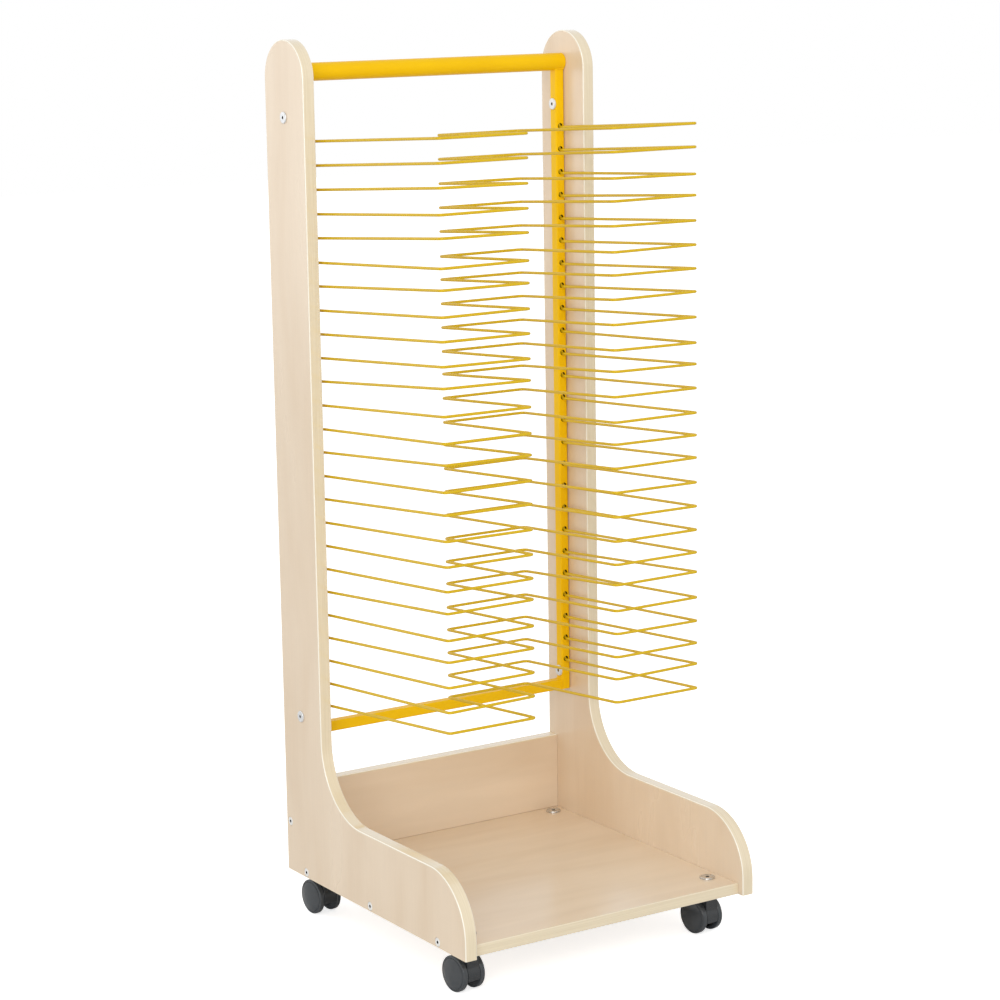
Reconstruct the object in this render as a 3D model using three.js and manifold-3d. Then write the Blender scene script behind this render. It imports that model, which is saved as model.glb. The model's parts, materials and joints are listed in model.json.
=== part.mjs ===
// Art drying rack on casters: two board sides, a tray between them, and a painted
// steel frame that carries 25 hooked wire shelves, one sheet of paper on each.
// Millimetres, +Z up, front towards -Y, origin on the floor under the middle of the rack.
// Heights named below are measured from the bottom edges of the boards, and depths
// from the back edges of the side panels, unless a comment says otherwise.

import * as THREE from 'three';
import { mergeVertices } from 'three/addons/utils/BufferGeometryUtils.js';
import Module from 'manifold-3d';

const wasm = await Module();
wasm.setup();

// Boards
const INNER_WIDTH = 439;          // clear width between the side panels
const PANEL_THICKNESS = 18;
const PANEL_DEPTH = 480;
const PANEL_HEIGHT = 1185;
const COLUMN_DEPTH = 107;         // the upright part of a side panel
const CHEEK_HEIGHT = 109;         // the low part beside the tray
const HOLLOW_RADIUS = 103;        // inside curve from column to cheek
const NOSE_RADIUS = 86;           // outside curve at the front of the cheek
const BAND_THICKNESS = 2;         // plastic edge band round the side panels
const BASE_THICKNESS = 16;
const BASE_SETBACK = 10.5;        // base front edge behind the panel fronts
const BASE_BACK_INSET = 3;        // base and back board behind edges, from the panel backs
const BACK_BOARD_THICKNESS = 18;
const BACK_BOARD_HEIGHT = 113;

// Steel frame
const POST_SIDE = 15;             // square tube
const POST_WALL = 1.5;
const POST_CORNER_RADIUS = 2;     // rounding of the tube's outer corners
const POST_DEPTH = 52;            // middle of the posts
const POST_FOOT_HEIGHT = 210;     // lower end of the posts
const TOP_RAIL_DIAMETER = 25;
const TOP_RAIL_WALL = 1.5;
const TOP_RAIL_DROP = 45;         // middle of the rail below the panel tops

// Wire shelves
const SHELF_COUNT = 25;
const SHELF_PITCH = 33;
const LOWEST_HOLE_RISE = 46.5;    // above the lower ends of the posts
const HOLE_DIAMETER = 8;
const WIRE_DIAMETER = 4;
const WIRE_BEND = 7;              // middle radius of the corners in the shelf
const HOOK_BEND = 5;              // middle radius of the bend at the post
const HOOK_LEG = 12;              // upright end inside the post, from the bend's corner
const SHELF_TILT = 4.1;           // degrees, the front sits higher
const SHELF_REACH = 338;          // front run, ahead of the post fronts along the shelf
const SHELF_TAPER = 8.2;          // outer front corners inside the posts' middles
const NOTCH_HALF_WIDTH = 67;      // the open middle of the shelf
const NOTCH_START = 112;          // cross run behind the notch, ahead of the post fronts

// Bolts that hold the frame to the panels
const FRAME_BOLT_DROP = 60;       // upper bolts below the middle of the top rail
const FRAME_BOLT_RISE = 28;       // lower bolts above the lower ends of the posts
const FRAME_BOLT_DIAMETER = 7;
const FRAME_BOLT_HEAD_DIAMETER = 17;
const FRAME_BOLT_HEAD = 1.7;      // thickness of the head and of the sleeve nut's flange

// Casters
const CASTER_HEIGHT = 65;         // floor to the bottom of the boards
const CASTER_SIDE_INSET = 21;     // swivel axes inside the side panels
const CASTER_FRONT_INSET = 54;    // front swivel axes behind the panel fronts
const CASTER_BACK_INSET = 40;     // back swivel axes ahead of the panel backs
const CASTER_TURN = 5;            // degrees, how far all four are swivelled as the rack stands
const CASTER_TRAIL = 13;          // axle behind the swivel axis
const WHEEL_DIAMETER = 50;
const WHEEL_TREAD_WIDTH = 7.2;
const WHEEL_CROWN = 4;            // rise of the domed outer face
const WHEEL_EDGE = 0.8;           // rounding of the tread's edges
const WHEEL_RIM = 4.5;
const WHEEL_RECESS = 5;           // hollow in the inner face
const WHEEL_HUB_DIAMETER = 15;
const HOOD_WIDTH = 20;
const HOOD_STEP = 0.3;            // hood surface inside the tread radius
const HOOD_WALL = 3;
const HOOD_FRONT_ANGLE = 18;      // degrees below the axle where the hood ends in front
const HOOD_BACK_ANGLE = 150;      // degrees over the top where it ends behind
const WEB_FRONT_ANGLE = 35;       // the web between hood and hub, measured the same way
const WEB_BACK_ANGLE = 125;
const HOOD_HUB_DIAMETER = 13;
const SADDLE_RISE = 4;            // the hood's raised part round the neck, above the wheel tops
const NECK_DIAMETER = 18;
const NECK_FLANGE_DIAMETER = 22;
const NECK_FLANGE = 2.5;
const AXLE_DIAMETER = 6;
const AXLE_IN_WHEEL = 8;          // length of the axle inside each wheel
const CASTER_BOLT_DIAMETER = 8;
const CASTER_BOLT_HEAD_DIAMETER = 22.5;
const CASTER_BOLT_HEAD = 2.2;
const CASTER_PIN_LENGTH = 20;     // bolt below the base, where it is the swivel pin

// Clearances and facet counts
const SEAT_GAP = 0.3;             // between pieces that rest on or fit in each other
const RUNNING_GAP = 0.5;          // between wheel and hood
const PANEL_ARC_FACETS = 8;       // for each quarter turn of a curve
const HOOD_ARC_FACETS = 5;
const WIRE_SIDES = 6;
const BEND_STEPS = 1;
const HOOK_STEPS = 2;
const HOLE_SIDES = 8;
const BOLT_SIDES = 10;
const TUBE_SIDES = 16;
const WHEEL_SIDES = 16;

// Places worked out from the sizes above
const sides = { left: -1, right: 1 };
const panelInner = INNER_WIDTH / 2;
const panelOuter = panelInner + PANEL_THICKNESS;
const fromBack = (depth) => PANEL_DEPTH / 2 - depth;
const aboveFloor = (height) => CASTER_HEIGHT + height;
const postX = panelInner - SEAT_GAP - POST_SIDE / 2;
const postY = fromBack(POST_DEPTH);
const postFront = postY - POST_SIDE / 2;
const baseTop = aboveFloor(BASE_THICKNESS);
const topRailHeight = PANEL_HEIGHT - TOP_RAIL_DROP;
const frameBoltHeights = {
  upper: topRailHeight - FRAME_BOLT_DROP,
  lower: POST_FOOT_HEIGHT + FRAME_BOLT_RISE,
};

const board = { color: 0xe8d5b7, roughness: 0.5, metalness: 0 };
const edging = { color: 0xe2cfa2, roughness: 0.45, metalness: 0 };
const paint = { color: 0xf5b90f, roughness: 0.35, metalness: 0 };
const zinc = { color: 0xc9ccd0, roughness: 0.35, metalness: 0.9 };
const hoodPlastic = { color: 0x46494c, roughness: 0.45, metalness: 0 };
const wheelPlastic = { color: 0x3c3f41, roughness: 0.4, metalness: 0 };

const rack = new THREE.Group();

function addPiece(name, geometry, finish, parent = rack) {
  const mesh = new THREE.Mesh(geometry, new THREE.MeshStandardMaterial(finish));
  mesh.name = name;
  parent.add(mesh);
  return mesh;
}

// Solids for cutting and joining

function toSolid(geometry) {
  const bare = geometry.clone();
  bare.deleteAttribute('normal');
  bare.deleteAttribute('uv');
  const merged = mergeVertices(bare, 1e-4);
  return new wasm.Manifold(new wasm.Mesh({
    numProp: 3,
    vertProperties: new Float32Array(merged.attributes.position.array),
    triVerts: new Uint32Array(merged.index.array),
  }));
}

function toGeometry(solid) {
  const mesh = solid.getMesh();
  const geometry = new THREE.BufferGeometry();
  geometry.setAttribute('position', new THREE.BufferAttribute(mesh.vertProperties, 3));
  geometry.setIndex(new THREE.BufferAttribute(mesh.triVerts, 1));
  return geometry;
}

function cutAway(geometry, cutters) {
  return toGeometry(cutters.reduce((solid, cutter) => solid.subtract(toSolid(cutter)), toSolid(geometry)));
}

// Shapes that several pieces share

// Points of a round stretch of an outline, with angles in degrees.
function arcPoints(x, y, radius, from, to, quarterFacets) {
  const angles = [from, to].map(THREE.MathUtils.degToRad);
  const arc = new THREE.EllipseCurve(x, y, radius, radius, ...angles, to < from);
  return arc.getPoints(Math.ceil((Math.abs(to - from) / 90) * quarterFacets));
}

// Side outline in depth from the back and height, carried across the rack towards -X.
function extrudeSideways(outline, width) {
  const geometry = new THREE.ExtrudeGeometry(new THREE.Shape(outline), {
    depth: width, bevelEnabled: false,
  });
  const across = new THREE.Vector3(-1, 0, 0);
  const forward = new THREE.Vector3(0, -1, 0);
  const up = new THREE.Vector3(0, 0, 1);
  return geometry.applyMatrix4(new THREE.Matrix4().makeBasis(forward, up, across));
}

// Profile of [radius, height] points turned about Z.
function turn(profile, count) {
  const points = profile.map(([radius, height]) => new THREE.Vector2(radius, height));
  return new THREE.LatheGeometry(points, count).rotateX(Math.PI / 2);
}

const alongX = (geometry) => geometry.rotateY(Math.PI / 2);

// Straight round peg on Z whose flat sides lie outside its diameter, for cutting holes.
function holePeg(diameter, length, count) {
  const radius = diameter / 2 / Math.cos(Math.PI / count);
  return new THREE.CylinderGeometry(radius, radius, length, count).rotateX(Math.PI / 2);
}

// Side panels and their edge bands

// Panel edge from the bottom back corner over the top to the bottom front corner.
function panelEdge(inset) {
  const crown = COLUMN_DEPTH / 2;
  const hollow = [COLUMN_DEPTH + HOLLOW_RADIUS, CHEEK_HEIGHT + HOLLOW_RADIUS, HOLLOW_RADIUS + inset];
  const nose = [PANEL_DEPTH - NOSE_RADIUS, CHEEK_HEIGHT - NOSE_RADIUS, NOSE_RADIUS - inset];
  return [
    new THREE.Vector2(inset, 0),
    ...arcPoints(crown, PANEL_HEIGHT - crown, crown - inset, 180, 0, PANEL_ARC_FACETS),
    ...arcPoints(...hollow, 180, 270, PANEL_ARC_FACETS),
    ...arcPoints(...nose, 90, 0, PANEL_ARC_FACETS),
    new THREE.Vector2(PANEL_DEPTH - inset, 0),
  ];
}

function panelBoard() {
  const outline = panelEdge(BAND_THICKNESS + SEAT_GAP);
  const holes = Object.values(frameBoltHeights).map((height) => (
    alongX(holePeg(FRAME_BOLT_DIAMETER + 2 * SEAT_GAP, 4 * PANEL_THICKNESS, BOLT_SIDES))
      .translate(0, -POST_DEPTH, height)
  ));
  return cutAway(extrudeSideways(outline, PANEL_THICKNESS), holes);
}

function panelBand() {
  const outline = [...panelEdge(0), ...panelEdge(BAND_THICKNESS).reverse()];
  return extrudeSideways(outline, PANEL_THICKNESS);
}

for (const [side, sign] of Object.entries(sides)) {
  const innermost = sign < 0 ? -panelInner : panelOuter;
  const place = [innermost, fromBack(0), aboveFloor(0)];
  addPiece(`side_panel_${side}`, panelBoard(), board).position.set(...place);
  addPiece(`edge_band_${side}`, panelBand(), edging).position.set(...place);
}

// Tray: base board with bolt holes, and a back board standing on it

const casterDepths = { front: PANEL_DEPTH - CASTER_FRONT_INSET, back: CASTER_BACK_INSET };
const casterPlaces = [];
for (const [end, depth] of Object.entries(casterDepths)) {
  for (const [side, sign] of Object.entries(sides)) {
    const x = sign * (panelInner - CASTER_SIDE_INSET);
    casterPlaces.push({ end, side, sign, x, y: fromBack(depth) });
  }
}

function baseBoard() {
  const width = INNER_WIDTH - 2 * SEAT_GAP;
  const depth = PANEL_DEPTH - BASE_SETBACK - BASE_BACK_INSET;
  const middle = (fromBack(PANEL_DEPTH - BASE_SETBACK) + fromBack(BASE_BACK_INSET)) / 2;
  const plank = new THREE.BoxGeometry(width, depth, BASE_THICKNESS).translate(0, middle, 0);
  const holes = casterPlaces.map(({ x, y }) => (
    holePeg(CASTER_BOLT_DIAMETER + 2 * SEAT_GAP, 2 * BASE_THICKNESS, BOLT_SIDES).translate(x, y, 0)
  ));
  return cutAway(plank, holes);
}

function backBoard() {
  const width = INNER_WIDTH - 2 * SEAT_GAP;
  return new THREE.BoxGeometry(width, BACK_BOARD_THICKNESS, BACK_BOARD_HEIGHT);
}

addPiece('base_board', baseBoard(), board).position.z = aboveFloor(BASE_THICKNESS / 2);
addPiece('back_board', backBoard(), board).position.set(
  0,
  fromBack(BASE_BACK_INSET + BACK_BOARD_THICKNESS / 2),
  baseTop + SEAT_GAP + BACK_BOARD_HEIGHT / 2,
);

// Frame: two drilled posts, a round top rail and a square bottom rail

// Square tube on Z from the origin up, with rounded outer corners.
function squareTube(length) {
  const flat = POST_SIDE / 2 - POST_CORNER_RADIUS;
  const section = new THREE.Shape();
  section.absarc(flat, flat, POST_CORNER_RADIUS, 0, Math.PI / 2);
  section.absarc(-flat, flat, POST_CORNER_RADIUS, Math.PI / 2, Math.PI);
  section.absarc(-flat, -flat, POST_CORNER_RADIUS, Math.PI, 1.5 * Math.PI);
  section.absarc(flat, -flat, POST_CORNER_RADIUS, 1.5 * Math.PI, 2 * Math.PI);
  const bar = new THREE.ExtrudeGeometry(section, {
    depth: length, bevelEnabled: false, curveSegments: 1,
  });
  const boreSide = POST_SIDE - 2 * POST_WALL;
  const bore = new THREE.BoxGeometry(boreSide, boreSide, 2 * length).translate(0, 0, length / 2);
  return cutAway(bar, [bore]);
}

const lowestHole = aboveFloor(POST_FOOT_HEIGHT + LOWEST_HOLE_RISE);
const holeHeights = Array.from({ length: SHELF_COUNT }, (_, i) => (
  lowestHole + (SHELF_COUNT - 1 - i) * SHELF_PITCH
));

// The post's top is cut to a saddle under the rail; its lower end is square.
function post(x) {
  const tube = squareTube(topRailHeight - POST_FOOT_HEIGHT);
  tube.translate(x, postY, aboveFloor(POST_FOOT_HEIGHT));
  const saddle = alongX(holePeg(TOP_RAIL_DIAMETER + 2 * SEAT_GAP, 2 * POST_SIDE, TUBE_SIDES))
    .translate(x, postY, aboveFloor(topRailHeight));
  const shelfHoles = holeHeights.map((height) => (
    holePeg(HOLE_DIAMETER, 3 * POST_WALL, HOLE_SIDES).rotateZ(Math.PI / HOLE_SIDES)
      .rotateX(Math.PI / 2).translate(x, postFront + POST_WALL / 2, height)
  ));
  const boltHoles = Object.values(frameBoltHeights).map((height) => (
    alongX(holePeg(FRAME_BOLT_DIAMETER + 2 * SEAT_GAP, 2 * POST_SIDE, BOLT_SIDES))
      .translate(x, postY, aboveFloor(height))
  ));
  return cutAway(tube, [saddle, ...shelfHoles, ...boltHoles]);
}

function topRail() {
  const outer = TOP_RAIL_DIAMETER / 2;
  const bore = outer - TOP_RAIL_WALL;
  const half = panelInner - SEAT_GAP;
  const profile = [[bore, -half], [outer, -half], [outer, half], [bore, half], [bore, -half]];
  return alongX(turn(profile, TUBE_SIDES));
}

function bottomRail() {
  const length = 2 * (postX - POST_SIDE / 2 - SEAT_GAP);
  return alongX(squareTube(length).translate(0, 0, -length / 2));
}

for (const [side, sign] of Object.entries(sides)) {
  addPiece(`post_${side}`, post(sign * postX), paint);
}
addPiece('top_rail', topRail(), paint).position.set(0, postY, aboveFloor(topRailHeight));
addPiece('bottom_rail', bottomRail(), paint)
  .position.set(0, postY, aboveFloor(POST_FOOT_HEIGHT + POST_SIDE / 2));

// Wire shelves: one bent wire each, hooked into a hole of either post

// Round wire along straight runs that are joined by bends: bends[i] holds the middle
// radius and the facets at corners[i]. Rings of points are carried along without twist.
function bentWire(corners, bends, radius) {
  const heading = (i) => corners[i + 1].clone().sub(corners[i]).normalize();
  const stations = [{ at: corners[0], along: heading(0) }];
  for (let i = 1; i < corners.length - 1; i += 1) {
    const before = heading(i - 1);
    const after = heading(i);
    const [bend, steps] = bends[i];
    const turned = before.angleTo(after);
    const inward = after.clone().addScaledVector(before, -Math.cos(turned)).normalize();
    const start = corners[i].clone().addScaledVector(before, -bend * Math.tan(turned / 2));
    for (let step = 0; step <= steps; step += 1) {
      const angle = (turned * step) / steps;
      const at = start.clone()
        .addScaledVector(before, bend * Math.sin(angle))
        .addScaledVector(inward, bend * (1 - Math.cos(angle)));
      const along = before.clone().multiplyScalar(Math.cos(angle))
        .addScaledVector(inward, Math.sin(angle));
      stations.push({ at, along });
    }
  }
  stations.push({ at: corners.at(-1), along: heading(corners.length - 2) });

  const positions = [];
  let across = new THREE.Vector3(1, 0, 0);
  for (const { at, along } of stations) {
    across = across.clone().addScaledVector(along, -across.dot(along)).normalize();
    const other = along.clone().cross(across);
    for (let j = 0; j < WIRE_SIDES; j += 1) {
      const angle = (2 * Math.PI * j) / WIRE_SIDES;
      positions.push(...at.clone()
        .addScaledVector(across, radius * Math.cos(angle))
        .addScaledVector(other, radius * Math.sin(angle)).toArray());
    }
  }
  const index = [];
  const lastRing = (stations.length - 1) * WIRE_SIDES;
  for (let ring = 0; ring < lastRing; ring += WIRE_SIDES) {
    for (let j = 0; j < WIRE_SIDES; j += 1) {
      const k = (j + 1) % WIRE_SIDES;
      index.push(ring + j, ring + k, ring + WIRE_SIDES + k);
      index.push(ring + j, ring + WIRE_SIDES + k, ring + WIRE_SIDES + j);
    }
  }
  for (let j = 1; j < WIRE_SIDES - 1; j += 1) {
    index.push(0, j + 1, j, lastRing, lastRing + j, lastRing + j + 1);
  }
  const geometry = new THREE.BufferGeometry();
  geometry.setAttribute('position', new THREE.Float32BufferAttribute(positions, 3));
  geometry.setIndex(index);
  return geometry;
}

// The hook's upright end lies behind the post's front wall and stops the shelf there.
// The bend rests on the lower edge of the hole, so the shelf tips up about the bend's middle.
const wireRadius = WIRE_DIAMETER / 2;
const tilt = THREE.MathUtils.degToRad(SHELF_TILT);
const hookY = postFront + POST_WALL + SEAT_GAP + wireRadius;
const hookTangent = HOOK_BEND * Math.tan((Math.PI / 2 + tilt) / 2);
const pivotRise = HOOK_BEND + wireRadius + SEAT_GAP - HOLE_DIAMETER / 2;

function wireShelf(holeHeight) {
  const knee = holeHeight + pivotRise - hookTangent;
  const onShelf = (x, ahead) => {
    const reach = ahead + hookY - postFront;
    return new THREE.Vector3(x, hookY - reach * Math.cos(tilt), knee + reach * Math.sin(tilt));
  };
  const hook = [HOOK_BEND, HOOK_STEPS];
  const bend = [WIRE_BEND, BEND_STEPS];
  const halfOf = (sign) => [
    [new THREE.Vector3(sign * postX, hookY, knee + HOOK_LEG), null],
    [new THREE.Vector3(sign * postX, hookY, knee), hook],
    [onShelf(sign * (postX - SHELF_TAPER), SHELF_REACH), bend],
    [onShelf(sign * NOTCH_HALF_WIDTH, SHELF_REACH), bend],
    [onShelf(sign * NOTCH_HALF_WIDTH, NOTCH_START), bend],
  ];
  const route = [...halfOf(sides.left), ...halfOf(sides.right).reverse()];
  return bentWire(route.map((point) => point[0]), route.map((point) => point[1]), wireRadius);
}

holeHeights.forEach((height, i) => {
  const number = String(i + 1).padStart(2, '0');
  addPiece(`wire_shelf_${number}`, wireShelf(height), paint);
});

// Frame bolts: head outside the panel, sleeve nut flange inside the post

function frameBolt() {
  const head = FRAME_BOLT_HEAD_DIAMETER / 2;
  const shank = FRAME_BOLT_DIAMETER / 2;
  const flange = postX - POST_SIDE / 2 - SEAT_GAP;
  const seat = panelOuter + SEAT_GAP;
  return alongX(turn([
    [0, flange - FRAME_BOLT_HEAD], [head, flange - FRAME_BOLT_HEAD], [head, flange],
    [shank, flange], [shank, seat],
    [head, seat], [head - FRAME_BOLT_HEAD, seat + FRAME_BOLT_HEAD], [0, seat + FRAME_BOLT_HEAD],
  ], BOLT_SIDES));
}

for (const [level, height] of Object.entries(frameBoltHeights)) {
  for (const [side, sign] of Object.entries(sides)) {
    const bolt = addPiece(`frame_bolt_${level}_${side}`, frameBolt(), zinc);
    bolt.position.set(0, postY, aboveFloor(height));
    if (sign < 0) bolt.rotation.z = Math.PI;
  }
}

// Casters: a bolt through the base is the swivel pin of a hooded twin-wheel caster

const axleHeight = WHEEL_DIAMETER / 2;
const wheelInner = HOOD_WIDTH / 2 + RUNNING_GAP;

function casterBolt() {
  const head = CASTER_BOLT_HEAD_DIAMETER / 2;
  const shank = CASTER_BOLT_DIAMETER / 2;
  const seat = baseTop + SEAT_GAP;
  const end = CASTER_HEIGHT - CASTER_PIN_LENGTH;
  return turn([
    [0, end], [shank, end], [shank, seat],
    [head, seat], [head, seat + CASTER_BOLT_HEAD / 2],
    [head - CASTER_BOLT_HEAD, seat + CASTER_BOLT_HEAD], [0, seat + CASTER_BOLT_HEAD],
  ], BOLT_SIDES);
}

// Hood seen from the side, about the axle: a curved wall over the treads, open below,
// raised to a saddle under the neck, with a web down to the axle hub that also holds the pin.
function hoodOutline() {
  const outer = WHEEL_DIAMETER / 2 - HOOD_STEP;
  const inner = outer - HOOD_WALL;
  const hub = HOOD_HUB_DIAMETER / 2;
  const saddleTop = WHEEL_DIAMETER / 2 + SADDLE_RISE;
  const saddleFront = CASTER_TRAIL + NECK_DIAMETER / 2;
  const saddleBack = CASTER_TRAIL - NECK_DIAMETER / 2;
  const angleAt = (ahead) => THREE.MathUtils.radToDeg(Math.acos(ahead / outer));
  const arc = (radius, from, to) => arcPoints(0, 0, radius, 180 - from, 180 - to, HOOD_ARC_FACETS);
  return new THREE.Shape([
    ...arc(outer, -HOOD_FRONT_ANGLE, angleAt(saddleFront)),
    new THREE.Vector2(-saddleFront, saddleTop),
    new THREE.Vector2(-saddleBack, saddleTop),
    ...arc(outer, angleAt(saddleBack), HOOD_BACK_ANGLE),
    ...arc(inner, HOOD_BACK_ANGLE, WEB_BACK_ANGLE),
    ...arc(hub, WEB_BACK_ANGLE, WEB_FRONT_ANGLE + 360),
    ...arc(inner, WEB_FRONT_ANGLE, -HOOD_FRONT_ANGLE),
  ]);
}

// The side outline is drawn with the back to its right, so it is turned to face forward.
function casterHousing() {
  const hood = new THREE.ExtrudeGeometry(hoodOutline(), { depth: HOOD_WIDTH, bevelEnabled: false });
  const back = new THREE.Vector3(0, 1, 0);
  const up = new THREE.Vector3(0, 0, 1);
  const across = new THREE.Vector3(1, 0, 0);
  hood.applyMatrix4(new THREE.Matrix4().makeBasis(back, up, across));
  hood.translate(-HOOD_WIDTH / 2, CASTER_TRAIL, axleHeight);

  const neck = NECK_DIAMETER / 2;
  const flange = NECK_FLANGE_DIAMETER / 2;
  const top = CASTER_HEIGHT - SEAT_GAP;
  const neckFoot = axleHeight + WHEEL_DIAMETER / 2;
  const collar = turn([
    [0, neckFoot], [neck, neckFoot], [neck, top - 2 * NECK_FLANGE],
    [flange, top - NECK_FLANGE], [flange, top], [0, top],
  ], TUBE_SIDES);
  const bore = CASTER_BOLT_DIAMETER + 2 * SEAT_GAP;
  const boreLength = CASTER_PIN_LENGTH + SEAT_GAP;
  const pinHole = holePeg(bore, 2 * boreLength, BOLT_SIDES).translate(0, 0, CASTER_HEIGHT);
  const axleHole = alongX(holePeg(AXLE_DIAMETER + 2 * SEAT_GAP, 2 * HOOD_WIDTH, BOLT_SIDES));
  axleHole.translate(0, CASTER_TRAIL, axleHeight);
  return toGeometry(
    toSolid(hood).add(toSolid(collar)).subtract(toSolid(pinHole)).subtract(toSolid(axleHole)),
  );
}

function casterAxle() {
  const half = wheelInner + AXLE_IN_WHEEL;
  const radius = AXLE_DIAMETER / 2;
  return alongX(new THREE.CylinderGeometry(radius, radius, 2 * half, BOLT_SIDES).rotateX(Math.PI / 2));
}

// Wheel turned about X, inner face towards the hood; the dome closes over the axle's end.
function casterWheel() {
  const radius = WHEEL_DIAMETER / 2;
  const hub = WHEEL_HUB_DIAMETER / 2;
  const bore = AXLE_DIAMETER / 2 + SEAT_GAP;
  const outside = wheelInner + WHEEL_TREAD_WIDTH;
  const boreEnd = wheelInner + AXLE_IN_WHEEL + SEAT_GAP;
  const dome = [0.8, 0.45].map((share) => [
    radius * share, outside + WHEEL_CROWN * Math.sqrt(1 - share * share),
  ]);
  return alongX(turn([
    [0, boreEnd], [bore, boreEnd], [bore, wheelInner], [hub, wheelInner],
    [hub, wheelInner + WHEEL_RECESS], [radius - WHEEL_RIM, wheelInner + WHEEL_RECESS],
    [radius - WHEEL_RIM, wheelInner], [radius - WHEEL_EDGE, wheelInner],
    [radius, wheelInner + WHEEL_EDGE], [radius, outside - WHEEL_EDGE],
    ...dome, [0, outside + WHEEL_CROWN],
  ], WHEEL_SIDES));
}

for (const { end, side, sign, x, y } of casterPlaces) {
  const caster = new THREE.Group();
  caster.position.set(x, y, 0);
  caster.rotation.z = THREE.MathUtils.degToRad(CASTER_TURN);
  rack.add(caster);
  const corner = `${end}_${side}`;
  addPiece(`caster_bolt_${corner}`, casterBolt(), zinc, caster);
  addPiece(`caster_housing_${corner}`, casterHousing(), hoodPlastic, caster);
  addPiece(`caster_axle_${corner}`, casterAxle(), zinc, caster)
    .position.set(0, CASTER_TRAIL, axleHeight);
  for (const [place, wheelSign] of Object.entries({ outer: sign, inner: -sign })) {
    const wheel = addPiece(`caster_wheel_${corner}_${place}`, casterWheel(), wheelPlastic, caster);
    wheel.position.set(0, CASTER_TRAIL, axleHeight);
    if (wheelSign < 0) wheel.rotation.z = Math.PI;
  }
}

export default rack;
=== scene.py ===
# %% [markdown]
# # An art drying rack, dressed
# The rack has two board sides with a tray between them, a yellow steel frame and 25 bent wire
# shelves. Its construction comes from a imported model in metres, with +Z up and the front towards -Y.
# This lesson loads that model, keeps every piece in its place and gives each one a finer surface
# and a finish. Sizes are written in millimetres times MM, so that they read like a drawing.

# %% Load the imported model
import json
import math

import bmesh
import bpy
import numpy as np
from mathutils import Matrix, Vector
from mathutils.geometry import tessellate_polygon


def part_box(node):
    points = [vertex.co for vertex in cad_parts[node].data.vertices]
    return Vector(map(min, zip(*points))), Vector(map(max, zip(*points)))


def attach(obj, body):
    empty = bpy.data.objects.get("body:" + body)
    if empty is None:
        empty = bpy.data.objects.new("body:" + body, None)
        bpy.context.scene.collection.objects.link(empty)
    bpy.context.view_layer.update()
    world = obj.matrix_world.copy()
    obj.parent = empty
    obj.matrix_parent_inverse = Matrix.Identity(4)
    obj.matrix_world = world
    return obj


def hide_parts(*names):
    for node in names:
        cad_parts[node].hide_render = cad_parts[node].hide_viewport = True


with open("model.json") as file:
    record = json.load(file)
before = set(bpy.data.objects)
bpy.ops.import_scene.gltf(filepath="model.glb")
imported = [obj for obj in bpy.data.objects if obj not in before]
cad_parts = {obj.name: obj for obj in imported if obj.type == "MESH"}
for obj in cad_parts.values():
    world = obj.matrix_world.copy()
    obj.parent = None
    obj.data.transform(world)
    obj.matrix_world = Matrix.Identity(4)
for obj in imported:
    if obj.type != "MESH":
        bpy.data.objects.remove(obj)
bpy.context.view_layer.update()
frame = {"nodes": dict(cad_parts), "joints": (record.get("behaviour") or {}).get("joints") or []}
MM = 0.001
joints = {joint["name"]: joint for joint in frame["joints"]}

# %% [markdown]
# ## The camera
# A camera can be placed by eye, or worked out from the picture. Here the corners of the boards were
# matched to the picture, which gave a place and three turns. The heading turns about the upright, the
# pitch looks a little down, and the roll is under one degree. A long lens keeps the uprights parallel.

# %% Camera
CAMERA_PLACE = (-2109.3 * MM, -3239.6 * MM, 1369.1 * MM)
CAMERA_HEADING = math.radians(32.839)
CAMERA_PITCH = math.radians(11.018)
CAMERA_ROLL = math.radians(-0.875)
CAMERA_LENS = 102.36
CAMERA_SENSOR = 36.0


def make_camera():
    """Turns in order: roll about the line of sight, tip up from looking down, turn to the heading."""
    data = bpy.data.cameras.new("camera")
    data.sensor_width = CAMERA_SENSOR
    data.lens = CAMERA_LENS
    data.clip_end = 50.0
    camera = bpy.data.objects.new("camera", data)
    bpy.context.scene.collection.objects.link(camera)
    turn = Matrix.Rotation(-CAMERA_HEADING, 4, "Z")
    tip = Matrix.Rotation(math.pi / 2 - CAMERA_PITCH, 4, "X")
    roll = Matrix.Rotation(CAMERA_ROLL, 4, "Z")
    camera.matrix_world = Matrix.Translation(CAMERA_PLACE) @ turn @ tip @ roll
    bpy.context.scene.camera = camera
    return camera


print("camera at", [round(value, 3) for value in make_camera().matrix_world.translation])

# %% [markdown]
# ## Surfaces from grids
# Nearly every piece here is a grid of points: one direction runs along the piece and the other round
# its section. Whole grids are computed at once as arrays, and one helper lists the faces between
# neighbouring points. A surface is a pair of points and faces, and several can be joined in one piece.

# %% Grid, joining and piece helpers
def grid_faces(rows, columns, wrap_rows=False, wrap_columns=False):
    """Faces of a rows x columns grid: each joins a point, the next row, the diagonal and the next
    column. A wrapped direction joins its last line of points to its first."""
    row, column = np.meshgrid(
        np.arange(rows if wrap_rows else rows - 1),
        np.arange(columns if wrap_columns else columns - 1),
        indexing="ij",
    )
    next_row = (row + 1) % rows
    next_column = (column + 1) % columns
    corners = [(row, column), (next_row, column), (next_row, next_column), (row, next_column)]
    return np.stack([r * columns + c for r, c in corners], axis=-1).reshape(-1, 4).tolist()


def grid_surface(points, wrap_rows=False, wrap_columns=False):
    """A (rows, columns, 3) array of points as one surface."""
    rows, columns = points.shape[:2]
    return points.reshape(-1, 3), grid_faces(rows, columns, wrap_rows, wrap_columns)


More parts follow.
